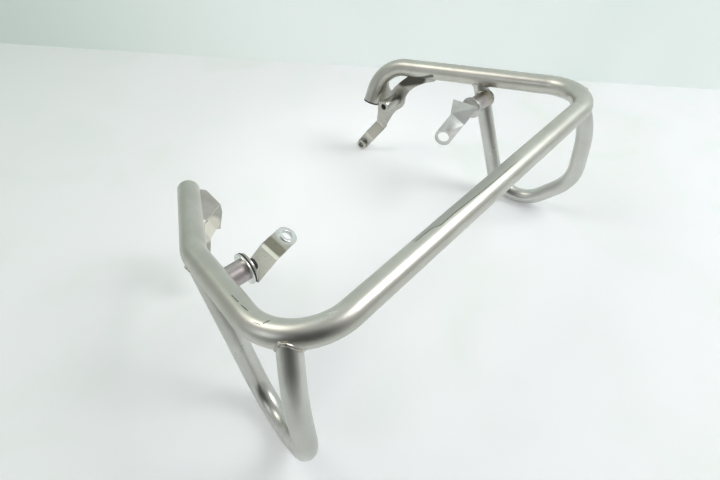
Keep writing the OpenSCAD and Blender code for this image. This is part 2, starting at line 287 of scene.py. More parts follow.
@dataclass(frozen=True)
class Finish:
    """A metal or plastic surface made of nodes.

    The base class is a satin metal. Others add their own colour layer.
    """

    name: str
    colour: Colour
    shade: Colour
    roughness: float = 0.34
    spread: float = 0.04
    metallic: float = 1.0
    cloud: float = 0.06
    grain: float = 0.0006
    grain_depth: float = 0.000006
    strokes: tuple[Stroke, ...] = ()
    mark: Colour = (0.12, 0.12, 0.105)

    def tint(self, nodes: NodeTree, vector: bpy.types.NodeSocket,
             base: bpy.types.NodeSocket) -> bpy.types.NodeSocket:
        """Adds this finish's own colours over the clouded base.

        Args:
            nodes: The material's tree.
            vector: Object coordinates.
            base: The clouded base colour.

        Returns:
            The colour to show.
        """
        return base

    def metal(self, nodes: NodeTree, vector: bpy.types.NodeSocket) -> object:
        """Returns how metallic the surface is, a number or a socket."""
        return self.metallic

    def height(self, nodes: NodeTree, vector: bpy.types.NodeSocket) -> bpy.types.NodeSocket:
        """Returns the height that the bump reads, from 0 to 1."""
        return nodes.noise(vector, self.grain, 2.0, 0.6)

    def material(self) -> bpy.types.Material:
        """Builds the material.

        Returns:
            The material, with object coordinates as its only source.
        """
        material = bpy.data.materials.new(self.name)
        material.use_nodes = True
        nodes = NodeTree(material.node_tree)
        vector = nodes.add("ShaderNodeTexCoord").outputs["Object"]
        clouds = nodes.remap(nodes.noise(vector, self.cloud, 4.0, 0.6, 0.3), 0.3, 0.7)
        grime = nodes.remap(nodes.noise(vector, self.cloud * 0.22, 3.0, 0.65), 0.35, 0.75)
        base = nodes.mix(clouds, self.colour, self.shade)
        base = nodes.mix(nodes.maths("MULTIPLY", grime, 0.12), base, self.shade)
        colour = self.tint(nodes, vector, base)
        rough = nodes.maths("ADD", nodes.maths("MULTIPLY", clouds, self.spread),
                            nodes.maths("MULTIPLY", grime, self.spread))
        rough = nodes.maths("ADD", rough, self.roughness - self.spread)
        relief = self.height(nodes, vector)
        # Bright strokes are light scratches on the tube and a painted highlight on the right
        # bracket.
        for bright in (True, False):
            chosen = [s for s in self.strokes if s.bright is bright]
            if chosen:
                mask = nodes.union([nodes.stroke(vector, s.start, s.end, s.width, s.ragged)
                                    for s in chosen])
                target = (0.82, 0.82, 0.80) if bright else self.mark
                colour = nodes.mix(nodes.maths("MULTIPLY", mask, 0.85), colour, target)
                rough = nodes.maths("ADD", rough, nodes.maths(
                    "MULTIPLY", mask, -0.08 if bright else 0.25))
                relief = nodes.maths("SUBTRACT", relief, mask)
        bump = nodes.add("ShaderNodeBump", {"Strength": 1.0, "Distance": self.grain_depth,
                                            "Height": relief})
        shader = nodes.add("ShaderNodeBsdfPrincipled", {
            "Base Color": colour, "Metallic": self.metal(nodes, vector), "Roughness": rough,
            "Normal": bump.outputs[0]})
        nodes.add("ShaderNodeOutputMaterial", {"Surface": shader.outputs[0]})
        return material


@dataclass(frozen=True)
class ScuffedTube(Finish):
    """Satin tube with a long worn flat along the top of the cross tube.

    scuff holds the flat's front edge as x and y, in metres.
    """

    scuff: tuple[tuple[float, float], ...] = (
        (-0.131, -0.1688), (-0.104, -0.1702), (-0.096, -0.1738), (-0.070, -0.1737),
        (-0.018, -0.1760), (0.030, -0.1765))
    worn: Colour = (0.36, 0.36, 0.33)
    fade_in: float = 0.003
    fade_out: float = 0.045
    heights: tuple[float, float] = (0.2296, 0.2340)
    hairline: float = 0.0002
    rim_width: float = 0.0008
    stray: float = 0.0016

    def tint(self, nodes: NodeTree, vector: bpy.types.NodeSocket,
             base: bpy.types.NodeSocket) -> bpy.types.NodeSocket:
        """Lays the worn zone behind the scuff's ragged edge."""
        place = nodes.add("ShaderNodeSeparateXYZ", {0: vector})
        first, last = self.scuff[0][0], self.scuff[-1][0]
        lows, highs = min(y for _, y in self.scuff), max(y for _, y in self.scuff)
        curve = nodes.add("ShaderNodeFloatCurve", {"Value": nodes.remap(
            place.outputs[0], first, last)})
        points = curve.mapping.curves[0].points
        for i, (x, y) in enumerate(self.scuff):
            share = (x - first) / (last - first)
            at = (share * share * (3 - 2 * share), (y - lows) / (highs - lows))
            if i == 0:
                points[0].location = at
            elif i == len(self.scuff) - 1:
                points[-1].location = at
            else:
                points.new(*at)
        for point in points:
            point.handle_type = "VECTOR"
        curve.mapping.update()
        edge = nodes.maths("ADD", nodes.maths(
            "MULTIPLY", curve.outputs[0], highs - lows), lows)
        stray = nodes.maths("MULTIPLY", nodes.maths(
            "SUBTRACT", nodes.noise(vector, 0.003, 4.0, 0.7), 0.5), self.stray)
        behind = nodes.maths("SUBTRACT", nodes.maths("ADD", place.outputs[1], stray), edge)
        run = nodes.maths(
            "MULTIPLY", nodes.remap(place.outputs[0], first - self.fade_in, first + self.fade_in),
            nodes.remap(place.outputs[0], last + self.fade_out, last))
        zone = nodes.maths("MULTIPLY", nodes.remap(behind, -self.hairline, self.hairline), run)
        zone = nodes.maths("MULTIPLY", zone, nodes.remap(place.outputs[2], *self.heights))
        rim = nodes.remap(nodes.maths("ABSOLUTE", behind), self.hairline, self.rim_width,
                          1.0, 0.0)
        rim = nodes.maths("MULTIPLY", rim, run)
        streak = nodes.add("ShaderNodeMapping", {0: vector, 3: (12.0, 900.0, 900.0)})
        lines = nodes.remap(nodes.noise(streak.outputs[0], 1.0, 2.0), 0.3, 0.7)
        worn = nodes.mix(nodes.maths("MULTIPLY", lines, 0.35), self.worn, self.colour)
        colour = nodes.mix(nodes.maths("MULTIPLY", zone, 0.75), base, worn)
        return nodes.mix(nodes.maths("MULTIPLY", rim, 0.9), colour, self.mark)


@dataclass(frozen=True)
class HeatTint(Finish):
    """Steel coloured straw and purple by the heat of welding."""

    straw: Colour = (0.42, 0.37, 0.29)
    purple: Colour = (0.44, 0.385, 0.40)
    weld_x: float = 0.262
    straw_edge: tuple[float, float] = (0.004, 0.012)
    purple_start: tuple[float, float] = (0.004, 0.013)
    purple_end: tuple[float, float] = (0.017, 0.034)
    stray: float = 0.022

    def tint(self, nodes: NodeTree, vector: bpy.types.NodeSocket,
             base: bpy.types.NodeSocket) -> bpy.types.NodeSocket:
        """Lays the tint bands away from the weld, the same on both sides."""
        place = nodes.add("ShaderNodeSeparateXYZ", {0: vector})
        away = nodes.maths("SUBTRACT", self.weld_x, nodes.maths("ABSOLUTE", place.outputs[0]))
        stray = nodes.maths("MULTIPLY", nodes.maths(
            "SUBTRACT", nodes.noise(vector, 0.012, 3.0), 0.5), self.stray)
        away = nodes.maths("ADD", away, stray)
        near = nodes.remap(away, *self.straw_edge, 1.0, 0.0)
        middle = nodes.maths("SUBTRACT", nodes.remap(away, *self.purple_start),
                             nodes.remap(away, *self.purple_end))
        colour = nodes.mix(nodes.maths("MULTIPLY", near, 0.7), base, self.straw)
        return nodes.mix(nodes.maths("MULTIPLY", middle, 0.65), colour, self.purple)


@dataclass(frozen=True)
class StrapSteel(Finish):
    """Bent strap steel with a painted highlight along the crease, a darker brown patch beside it
    and a lighter round end.
    """

    crease: tuple[Point, Point] = ((-0.1935, -0.0075, 0.1655), (-0.1915, -0.0265, 0.1585))
    # Colour of the highlight painted along the crease.
    glow: Colour = (0.86, 0.84, 0.74)
    dark_patch: tuple[Point, Point] = ((-0.1835, -0.0010, 0.1650), (-0.1815, -0.0200, 0.1580))
    dark_brown: Colour = (0.20, 0.18, 0.13)
    dark_patch_width: float = 0.018
    crease_width: float = 0.006
    end_width: float = 0.028
    end: tuple[Point, Point] = ((-0.1568, -0.0045, 0.1535), (-0.1572, -0.0045, 0.1534))
    end_tone: Colour = (0.76, 0.78, 0.78)

    def tint(self, nodes: NodeTree, vector: bpy.types.NodeSocket,
             base: bpy.types.NodeSocket) -> bpy.types.NodeSocket:
        """Lays the darker brown patch, the painted highlight along the crease and the lighter
        round end.
        """
        # A darker brown patch on the tab beside the crease.
        dark_patch = nodes.stroke(vector, *self.dark_patch, self.dark_patch_width, 0.0008)
        colour = nodes.mix(nodes.maths("MULTIPLY", dark_patch, 0.8), base, self.dark_brown)
        # Painted highlight along the crease.
        line = nodes.stroke(vector, *self.crease, self.crease_width, 0.0006)
        colour = nodes.mix(nodes.maths("MULTIPLY", line, 0.8), colour, self.glow)
        # A lighter round end about the hole.
        round_end = nodes.stroke(vector, *self.end, self.end_width)
        return nodes.mix(nodes.maths("MULTIPLY", round_end, 0.9), colour, self.end_tone)


@dataclass(frozen=True)
class BracketSteel(Finish):
    """Plate with a painted highlight on one fold and, on the rider's left, a root in painted
    shadow over weld discolouration.
    """

    fold: tuple[Point, Point] = ((0.2110, 0.1700, 0.0350), (0.2240, 0.1640, 0.0490))
    fold_width: float = 0.022
    # Colour of the highlight painted on the lit fold facet.
    fold_highlight: Colour = (0.93, 0.90, 0.79)
    root: tuple[Point, Point] | None = None
    root_width: float = 0.024
    # Colour of the painted shadow and weld discolouration at the root.
    dark_brown: Colour = (0.035, 0.032, 0.025)
    fold_metal: float = 0.15

    def on_fold(self, nodes: NodeTree, vector: bpy.types.NodeSocket) -> bpy.types.NodeSocket:
        """Returns the mask of the painted highlight on the fold."""
        return nodes.stroke(vector, *self.fold, self.fold_width, 0.0006)

    def metal(self, nodes: NodeTree, vector: bpy.types.NodeSocket) -> object:
        """Keeps the painted highlight on the fold matt, so that it stays light from every side.
        """
        return nodes.remap(self.on_fold(nodes, vector), 0.0, 1.0, self.metallic,
                           self.fold_metal)

    def tint(self, nodes: NodeTree, vector: bpy.types.NodeSocket,
             base: bpy.types.NodeSocket) -> bpy.types.NodeSocket:
        """Lays the painted highlight on the fold and the painted shadow over weld discolouration
        at the root.
        """
        fold = self.on_fold(nodes, vector)
        # Paints the lit fold facet light.
        colour = nodes.mix(nodes.maths("MULTIPLY", fold, 0.85), base, self.fold_highlight)
        if self.root is None:
            return colour
        # Painted shadow under the arm, over weld discolouration, at the plate's root.
        root_shade_and_scorch = nodes.stroke(vector, *self.root, self.root_width, 0.002)
        return nodes.mix(nodes.maths("MULTIPLY", root_shade_and_scorch, 0.9), colour, self.dark_brown)


@dataclass(frozen=True)
class WeldMetal(Finish):
    """Rough weld metal with dark oxide between its ripples."""

    oxide: Colour = (0.20, 0.17, 0.14)

    def tint(self, nodes: NodeTree, vector: bpy.types.NodeSocket,
             base: bpy.types.NodeSocket) -> bpy.types.NodeSocket:
        """Lays oxide blots."""
        blots = nodes.remap(nodes.noise(vector, 0.0035, 4.0, 0.7), 0.48, 0.68)
        return nodes.mix(nodes.maths("MULTIPLY", blots, 0.8), base, self.oxide)


@dataclass
class Finishes:
    """Every finish of the part, by what carries it."""

    tube: Finish = ScuffedTube(
        "satin_tube", (0.60, 0.59, 0.54), (0.53, 0.52, 0.47), roughness=0.36,
        strokes=(
            Stroke((-0.2877, -0.0813, 0.2268), (-0.2892, -0.0923, 0.2288), 0.0011, 0.0009),
            Stroke((-0.2899, -0.0977, 0.2298), (-0.2908, -0.1075, 0.2315), 0.0011, 0.0009),
            Stroke((-0.2914, -0.1301, 0.2353), (-0.2867, -0.1320, 0.2359), 0.0014, 0.0011),
            Stroke((-0.2959, -0.1222, 0.2332), (-0.2941, -0.1283, 0.2344), 0.0006, 0.0005),
            # Wide dark stroke on the arm by the left plate's root: painted shadow under the arm
            # over weld discolouration.
            Stroke((0.2425, 0.1050, 0.1660), (0.2429, 0.0735, 0.1815), 0.0060, 0.0015),
            Stroke((-0.2510, -0.1662, 0.2419), (-0.2444, -0.1703, 0.2427), 0.0012, 0.0006,
                   bright=True)))
    loop: Finish = Finish(
        "satin_loop", (0.60, 0.60, 0.565), (0.53, 0.53, 0.49), roughness=0.31, cloud=0.07)
    bracket_left: Finish = BracketSteel(
        "bracket_left", (0.52, 0.51, 0.47), (0.42, 0.41, 0.37), roughness=0.36, cloud=0.03,
        # The root stroke is painted shadow under the arm over weld discolouration.
        root=((0.2380, 0.1280, 0.1545), (0.2440, 0.0980, 0.1680)))
    bracket_right: Finish = BracketSteel(
        "bracket_right", (0.52, 0.51, 0.47), (0.42, 0.41, 0.37), roughness=0.36, cloud=0.03,
        # The fold stroke is a highlight painted on the lit step facet.
        fold=(tuple(REST.place(-176.0, 324.6, -70.5)), tuple(REST.place(-192.0, 315.2, -71.5))),
        fold_width=0.027, strokes=(
            # The bright strokes are a highlight painted along the plate's curved edge.
            Stroke((-0.1551, 0.1346, 0.1162), (-0.1650, 0.1338, 0.1132), 0.0007, 0.0004,
                   bright=True),
            Stroke((-0.1650, 0.1338, 0.1132), (-0.1725, 0.1331, 0.1080), 0.0007, 0.0004,
                   bright=True),
            Stroke((-0.1725, 0.1331, 0.1080), (-0.1765, 0.1322, 0.1015), 0.0007, 0.0004,
                   bright=True)))
    strap_right: Finish = StrapSteel(
        "strap_right", (0.54, 0.53, 0.47), (0.44, 0.43, 0.37), roughness=0.30, cloud=0.02,
        grain_depth=0.0000015)
    strap_left: Finish = Finish(
        "strap_left", (0.62, 0.62, 0.60), (0.50, 0.50, 0.48), roughness=0.32, cloud=0.02,
        grain_depth=0.0000015)
    bright: Finish = Finish(
        "bright_steel", (0.80, 0.80, 0.79), (0.68, 0.68, 0.67), roughness=0.24, cloud=0.01)
    bush: Finish = HeatTint(
        "tinted_bush", (0.60, 0.57, 0.54), (0.46, 0.42, 0.40), roughness=0.36, cloud=0.01)
    weld: Finish = WeldMetal(
        "weld_metal", (0.68, 0.66, 0.61), (0.46, 0.43, 0.38), roughness=0.32, cloud=0.006,
        grain=0.0009, grain_depth=0.00006)
    rubber: Finish = Finish(
        "black_rubber", (0.018, 0.018, 0.018), (0.035, 0.035, 0.034), roughness=0.62,
        metallic=0.0, cloud=0.006, grain=0.0005, grain_depth=0.00003)
    bolt: Finish = Finish(
        "black_bolt", (0.030, 0.030, 0.033), (0.055, 0.055, 0.058), roughness=0.40,
        metallic=0.6, cloud=0.004, grain=0.0004, grain_depth=0.00001)
    plug: Finish = Finish(
        "black_plug", (0.020, 0.020, 0.021), (0.034, 0.034, 0.034), roughness=0.48,
        metallic=0.0, cloud=0.006, grain=0.0005, grain_depth=0.00003)
    made: dict[str, bpy.types.Material] = field(default_factory=dict)

    def get(self, name: str) -> bpy.types.Material:
        """Builds a finish's material once and returns it.

        Args:
            name: The finish's field.

        Returns:
            The material.
        """
        if name not in self.made:
            self.made[name] = getattr(self, name).material()
        return self.made[name]


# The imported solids


@dataclass
class PackedSteel:
    """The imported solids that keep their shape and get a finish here."""

    nodes: dict[str, bpy.types.Object]
    finishes: Finishes
    plan: dict[str, str] = field(default_factory=lambda: {
        "main_tube": "tube", "right_loop": "loop", "left_loop": "loop",
        "right_bush": "bush", "left_bush": "bush",
        "right_flange": "bright", "left_flange": "bright",
        "right_rubber": "rubber", "left_rubber": "rubber",
        "right_strap": "strap_right", "left_strap": "strap_left",
        "right_bolt": "bolt", "tab_washer": "bright",
        "left_plate": "bracket_left", "left_long_boss": "bracket_left",
        "left_small_boss": "bracket_left", "left_plug": "plug",
        "right_bracket": "bracket_right",
        "right_front_weld": "weld", "left_front_weld": "weld",
        "right_rear_weld": "weld", "left_rear_weld": "weld",
        "right_bush_weld": "weld", "left_bush_weld": "weld"})
    soft_edges: dict[str, float] = field(default_factory=lambda: {
        "right_flange": 0.0006, "left_flange": 0.0006, "right_strap": 0.0005,
        "left_strap": 0.0005, "tab_washer": 0.0003, "left_plate": 0.0005,
        "right_bracket": 0.0005, "left_long_boss": 0.0005, "left_small_boss": 0.0005,
        "left_plug": 0.0006})

    def dress(self) -> None:
        """Assigns the finishes and breaks the sharp edges that would look cut."""
        for name, finish in self.plan.items():
            solid = self.nodes[name]
            solid.data.materials.clear()
            solid.data.materials.append(self.finishes.get(finish))
            LOG.info("%s wears %s", name, finish)
        for name, width in self.soft_edges.items():
            solid = self.nodes[name]
            weld = solid.modifiers.new("joined", "WELD")
            weld.merge_threshold = 0.00001
            bevel = solid.modifiers.new("broken_edge", "BEVEL")
            bevel.width = width
            bevel.segments = 2
            bevel.limit_method = "ANGLE"
            bevel.angle_limit = math.radians(40)
            bevel.harden_normals = False


# Weld beads


@dataclass
class BarPath:
    """The middle line of a bent bar, in millimetres in the cross tube's plane."""

    corners: list[Point]
    bends: list[float]
    radius: float

    def line(self, step: float = 1.0) -> np.ndarray:
        """Samples the middle line.

        Args:
            step: Distance between samples, in millimetres.

        Returns:
            One row for each sample.
        """
        corners = [Vector(c) for c in self.corners]
        marks: list[Vector] = [corners[0]]
        for i in range(1, len(corners) - 1):
            before = (corners[i] - corners[i - 1]).normalized()
            after = (corners[i + 1] - corners[i]).normalized()
            turn = before.angle(after)
            inward = (after - before * before.dot(after)).normalized()
            bend = self.bends[i]
            start = corners[i] - before * bend * math.tan(turn / 2)
            centre = start + inward * bend
            count = max(4, int(turn * bend / step))
            marks += [centre + (before * math.sin(turn * k / count)
                                - inward * math.cos(turn * k / count)) * bend
                      for k in range(count + 1)]
        marks.append(corners[-1])
        rows: list[Vector] = []
        for a, b in zip(marks, marks[1:]):
            count = max(1, int((b - a).length / step))
            rows += [a.lerp(b, k / count) for k in range(count)]
        return np.array([tuple(r) for r in rows + [marks[-1]]])

    def mirrored(self) -> "BarPath":
        """Returns the same bar on the rider's other side."""
        return BarPath([(-x, y, z) for x, y, z in self.corners], self.bends, self.radius)


MAIN_BAR = BarPath(
    [(-190.2, 324.7, -4.4), (-267.5, 190.7, 5.1), (-305.4, 0, 0), (305.4, 0, 0),
     (237.7, 351, 8.7), (214.1, 366.4, -51.1)], [0, 59, 62, 62, 59, 0], 14.0)
LEFT_LOOP = BarPath(
    [(282.9, 23.8, 0), (303, 10.5, -58.4), (302, 18.5, -155), (272, 129.7, -239.5),
     (271.2, 179.6, 4.8)], [0, 150, 65, 53, 0], 12.25)


def wake(obj: bpy.types.Object) -> None:
    """Selects one object alone and makes it the active one."""
    bpy.ops.object.select_all(action="DESELECT")
    obj.select_set(True)
    bpy.context.view_layer.objects.active = obj


def face_outward(obj: bpy.types.Object) -> None:
    """Turns every face of one object to the outside."""
    wake(obj)
    bpy.ops.object.mode_set(mode="EDIT")
    bpy.ops.mesh.select_all(action="SELECT")
    bpy.ops.mesh.normals_make_consistent(inside=False)
    bpy.ops.object.mode_set(mode="OBJECT")


@dataclass
class WeldBead:
    """A rippled bead that runs round a tube where it meets its neighbours."""

    name: str
    stands_for: str
    start: Point
    towards: Point
    radius: float
    neighbours: list[tuple[np.ndarray, float]]
    size: float = 2.3
    ripple: float = 2.1
    segments: int = 288
    around: int = 10
    search: float = 40.0
    swell: float = 0.20
    crest: float = 0.85
    flatness: float = 0.78
    sink: float = 0.3

    def gap(self, points: np.ndarray) -> np.ndarray:
        """Returns each point's distance to the nearest neighbour's skin."""
        best = np.full(len(points), 1e9)
        for line, radius in self.neighbours:
            span = np.linalg.norm(points[:, None, :] - line[None, :, :], axis=2)
            best = np.minimum(best, span.min(axis=1) - radius)
        return best

    def seam(self) -> tuple[np.ndarray, np.ndarray]:
        """Finds the seam round the tube.

        Returns:
            The seam's points and the tube's outward directions there.
        """
        origin = Vector(self.start)
        axis = (Vector(self.towards) - origin).normalized()
        across = axis.orthogonal().normalized()
        up = axis.cross(across)
        angles = np.linspace(0, 2 * math.pi, self.segments, endpoint=False)
        out = (np.outer(np.cos(angles), across) + np.outer(np.sin(angles), up))
        low = np.zeros(self.segments)
        base = np.array(origin) + out * self.radius
        for step in np.arange(0, self.search, 1.0):
            inside = self.gap(base + np.outer(np.full(self.segments, step), axis)) < 0
            low = np.where(inside, step, low)
        high = low + 1.5
        for _ in range(14):
            middle = (low + high) / 2
            inside = self.gap(base + middle[:, None] * np.array(axis)) < 0
            low, high = np.where(inside, middle, low), np.where(inside, high, middle)
        smooth = low
        for _ in range(3):
            smooth = (np.roll(smooth, 1) + smooth * 2 + np.roll(smooth, -1)) / 4
        return base + smooth[:, None] * np.array(axis), out

    def build(self, material: bpy.types.Material) -> bpy.types.Object:
        """Makes the bead and lets it stand for the plain one.

        Args:
            material: The weld metal.

        Returns:
            The finished piece.
        """
        seam, out = self.seam()
        bpy.ops.object.select_all(action="DESELECT")
        bpy.ops.mesh.primitive_torus_add(
            major_segments=self.segments, minor_segments=self.around,
            major_radius=self.radius / 1000, minor_radius=self.size / 1000)
        bead = bpy.context.active_object
        bead.name = self.name
        forward = np.roll(seam, -1, 0) - np.roll(seam, 1, 0)
        forward /= np.linalg.norm(forward, axis=1)[:, None]
        axis = np.array((Vector(self.towards) - Vector(self.start)).normalized())
        lift = out + axis
        lift -= forward * np.sum(lift * forward, 1)[:, None]
        lift /= np.linalg.norm(lift, axis=1)[:, None]
        side = np.cross(forward, lift)
        run = np.cumsum(np.linalg.norm(np.roll(seam, -1, 0) - seam, axis=1))
        count = max(8, round(run[-1] / self.ripple))
        phase = run / run[-1] * count
        saw = phase % 1.0
        beat = (1 - self.swell / 2
                + self.swell * np.sqrt(np.clip(1 - (2 * saw - self.crest) ** 2, 0, 1)))
        drift = 0.22 * np.sin(phase * 0.9) + 0.14 * np.sin(phase * 2.3 + 1.0)
        rows = []
        for j in range(self.around):
            turn = 2 * math.pi * j / self.around
            ring = self.size * beat
            lean = 0.35 * self.ripple * math.cos(turn)
            rows.append(seam + side * (ring * math.sin(turn) + drift)[:, None]
                        + lift * (ring * self.flatness * math.cos(turn) - self.sink)[:, None]
                        + forward * lean)
        places = np.stack(rows, axis=1).reshape(-1, 3)
        frame = REST.turn() @ Matrix.Scale(0.001, 4)
        frame.translation = (0, REST.shift, REST.height)
        turned = places @ np.array(frame)[:3, :3].T + np.array(frame.translation)
        bead.matrix_world = Matrix.Identity(4)
        bead.data.vertices.foreach_set("co", turned.astype(np.float32).ravel())
        bead.data.update()
        face_outward(bead)
        bpy.ops.object.shade_smooth()
        bead.data.materials.append(material)
        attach(bead, "root")
        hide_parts(self.stands_for)
        LOG.info("%s laid with %d ripples", self.name, count)
        return bead


@dataclass
class Welds:
    """All six weld beads."""

    finishes: Finishes
    bush_bead: float = 2.0

    def build(self) -> list[bpy.types.Object]:
        """Returns the beads of both sides."""
        main = (MAIN_BAR.line(), MAIN_BAR.radius)
        beads = []
        for side in Side:
            word, sign = side.name.lower(), side.value
            loop = LEFT_LOOP if side is Side.LEFT else LEFT_LOOP.mirrored()
            corners = loop.corners
            beads.append(WeldBead(
                f"{word}_front_bead", f"{word}_front_weld", corners[0], corners[1],
                loop.radius, [main]))
            beads.append(WeldBead(
                f"{word}_rear_bead", f"{word}_rear_weld", corners[4], corners[3],
                loop.radius, [main]))
            root, yaw = STUB.root(side), STUB.yaw(side)
            inner = (root[0] - sign * math.cos(yaw), root[1] - math.sin(yaw), root[2])
            beads.append(WeldBead(
                f"{word}_bush_bead", f"{word}_bush_weld", root, inner,
                STUB.radius, [main, (loop.line(), loop.radius)], size=self.bush_bead))
        return [bead.build(self.finishes.get("weld")) for bead in beads]


# Small turned and forged pieces


@dataclass
class HexBolt:
    """The black hexagon head on the right stub, with its chamfer and washer face."""

    finishes: Finishes
    across_flats: float = 13.0
    head: float = 7.0
    shank: float = 8.0
    inside: float = 24.0
    rim_inset: float = 0.0011
    face_sink: float = 0.0005

    def build(self) -> bpy.types.Object:
        """Models the bolt along its axis and lets it stand for the plain one.

        Returns:
            The finished piece.
        """
        corner = self.across_flats / 2 / math.cos(math.radians(30)) / 1000
        head, shank = self.head / 1000, self.shank / 2000
        length = (self.inside + STUB.stack() - STUB.length + STUB.strap) / 1000
        bpy.ops.object.select_all(action="DESELECT")
        bpy.ops.mesh.primitive_cylinder_add(
            vertices=6, radius=corner, depth=head, location=(0, 0, head / 2))
        hexagon = bpy.context.active_object
        bpy.ops.mesh.primitive_cone_add(
            vertices=96, radius1=corner + head, radius2=corner * 0.84, depth=head * 1.7,
            location=(0, 0, head * 0.15 + 0.00001))
        cone = bpy.context.active_object
        wake(hexagon)
        cut = hexagon.modifiers.new("chamfer", "BOOLEAN")
        cut.operation, cut.object, cut.solver = "INTERSECT", cone, "EXACT"
        bpy.ops.object.modifier_apply(modifier=cut.name)
        bpy.data.objects.remove(cone)
        bpy.ops.object.mode_set(mode="EDIT")
        bpy.ops.mesh.select_all(action="DESELECT")
        bpy.ops.object.mode_set(mode="OBJECT")
        for face in hexagon.data.polygons:
            face.select = face.normal.z > 0.99 and face.center.z > head * 0.9
        bpy.ops.object.mode_set(mode="EDIT")
        bpy.ops.mesh.inset(thickness=self.rim_inset)
        bpy.ops.transform.translate(value=(0, 0, -self.face_sink))
        bpy.ops.object.mode_set(mode="OBJECT")
        bpy.ops.mesh.primitive_cylinder_add(
            vertices=48, radius=shank, depth=length, location=(0, 0, -length / 2 + 0.0002))
        shaft = bpy.context.active_object
        wake(hexagon)
        shaft.select_set(True)
        bpy.ops.object.transform_apply(location=True, rotation=True, scale=True)
        bpy.ops.object.join()
        bolt = bpy.context.active_object
        bolt.name = "hex_bolt"
        edge = bolt.modifiers.new("broken_edge", "BEVEL")
        edge.width, edge.segments, edge.limit_method = 0.00018, 2, "ANGLE"
        edge.angle_limit = math.radians(35)
        bpy.ops.object.modifier_apply(modifier=edge.name)
        yaw = STUB.yaw(Side.RIGHT)
        side = Vector((math.cos(yaw), -math.sin(yaw), 0))
        rise = Vector((0, 0, 1))
        turn = Matrix((rise.cross(side), rise, side)).transposed().to_4x4()
        seat = Vector(STUB.root(Side.RIGHT)) + side * (STUB.stack() + STUB.strap)
        place = REST.turn() @ turn
        place.translation = REST.place(*seat)
        bolt.data.transform(place)
        bolt.matrix_world = Matrix.Identity(4)
        face_outward(bolt)
        bpy.ops.object.shade_smooth_by_angle(angle=math.radians(30))
        bolt.data.materials.clear()
        bolt.data.materials.append(self.finishes.get("bolt"))
        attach(bolt, "root")
        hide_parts("right_bolt")
        LOG.info("hex_bolt seated %.1f mm from the leg", STUB.stack())
        return bolt


@dataclass
class StubCollar:
    """A stepped washer on the left stub, hidden but for its rim."""

    name: str
    stands_for: str
    finish: str
    slot: Slot
    start: float
    thick: float
    radius: float
    rim: float = 0.0012
    step: float = 0.0002

    def build(self, finishes: Finishes) -> bpy.types.Object:
        """Turns the washer on the bolt's line and lets it stand for the plain one.

        Args:
            finishes: The part's finishes.

        Returns:
            The finished piece.
        """
        bpy.ops.object.select_all(action="DESELECT")
        bpy.ops.mesh.primitive_cylinder_add(
            vertices=72, radius=self.radius / 1000, depth=self.thick / 1000)
        collar = bpy.context.active_object
        collar.name = self.name
        for face in collar.data.polygons:
            face.select = abs(face.normal.z) > 0.9
        bpy.ops.object.mode_set(mode="EDIT")
        bpy.ops.mesh.inset(thickness=self.rim, use_individual=True)
        bpy.ops.mesh.extrude_faces_move(
            TRANSFORM_OT_shrink_fatten={"value": -self.step})
        bpy.ops.object.mode_set(mode="OBJECT")
        edge = collar.modifiers.new("broken_edge", "BEVEL")
        edge.width, edge.segments, edge.limit_method = 0.0004, 2, "ANGLE"
        bpy.ops.object.modifier_apply(modifier=edge.name)
        place = REST.turn() @ Matrix.Rotation(-math.pi / 2, 4, "Y")
        x, y, z = STUB.root(Side.LEFT)
        place.translation = REST.place(x - self.start - self.thick / 2, y, z)
        collar.data.transform(place)
        bpy.ops.object.shade_smooth_by_angle(angle=math.radians(30))
        collar.data.materials.append(finishes.get(self.finish))
        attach(collar, "root")
        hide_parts(self.stands_for)
        LOG.info("%s stands for %s", self.name, self.stands_for)
        return collar


# Studio


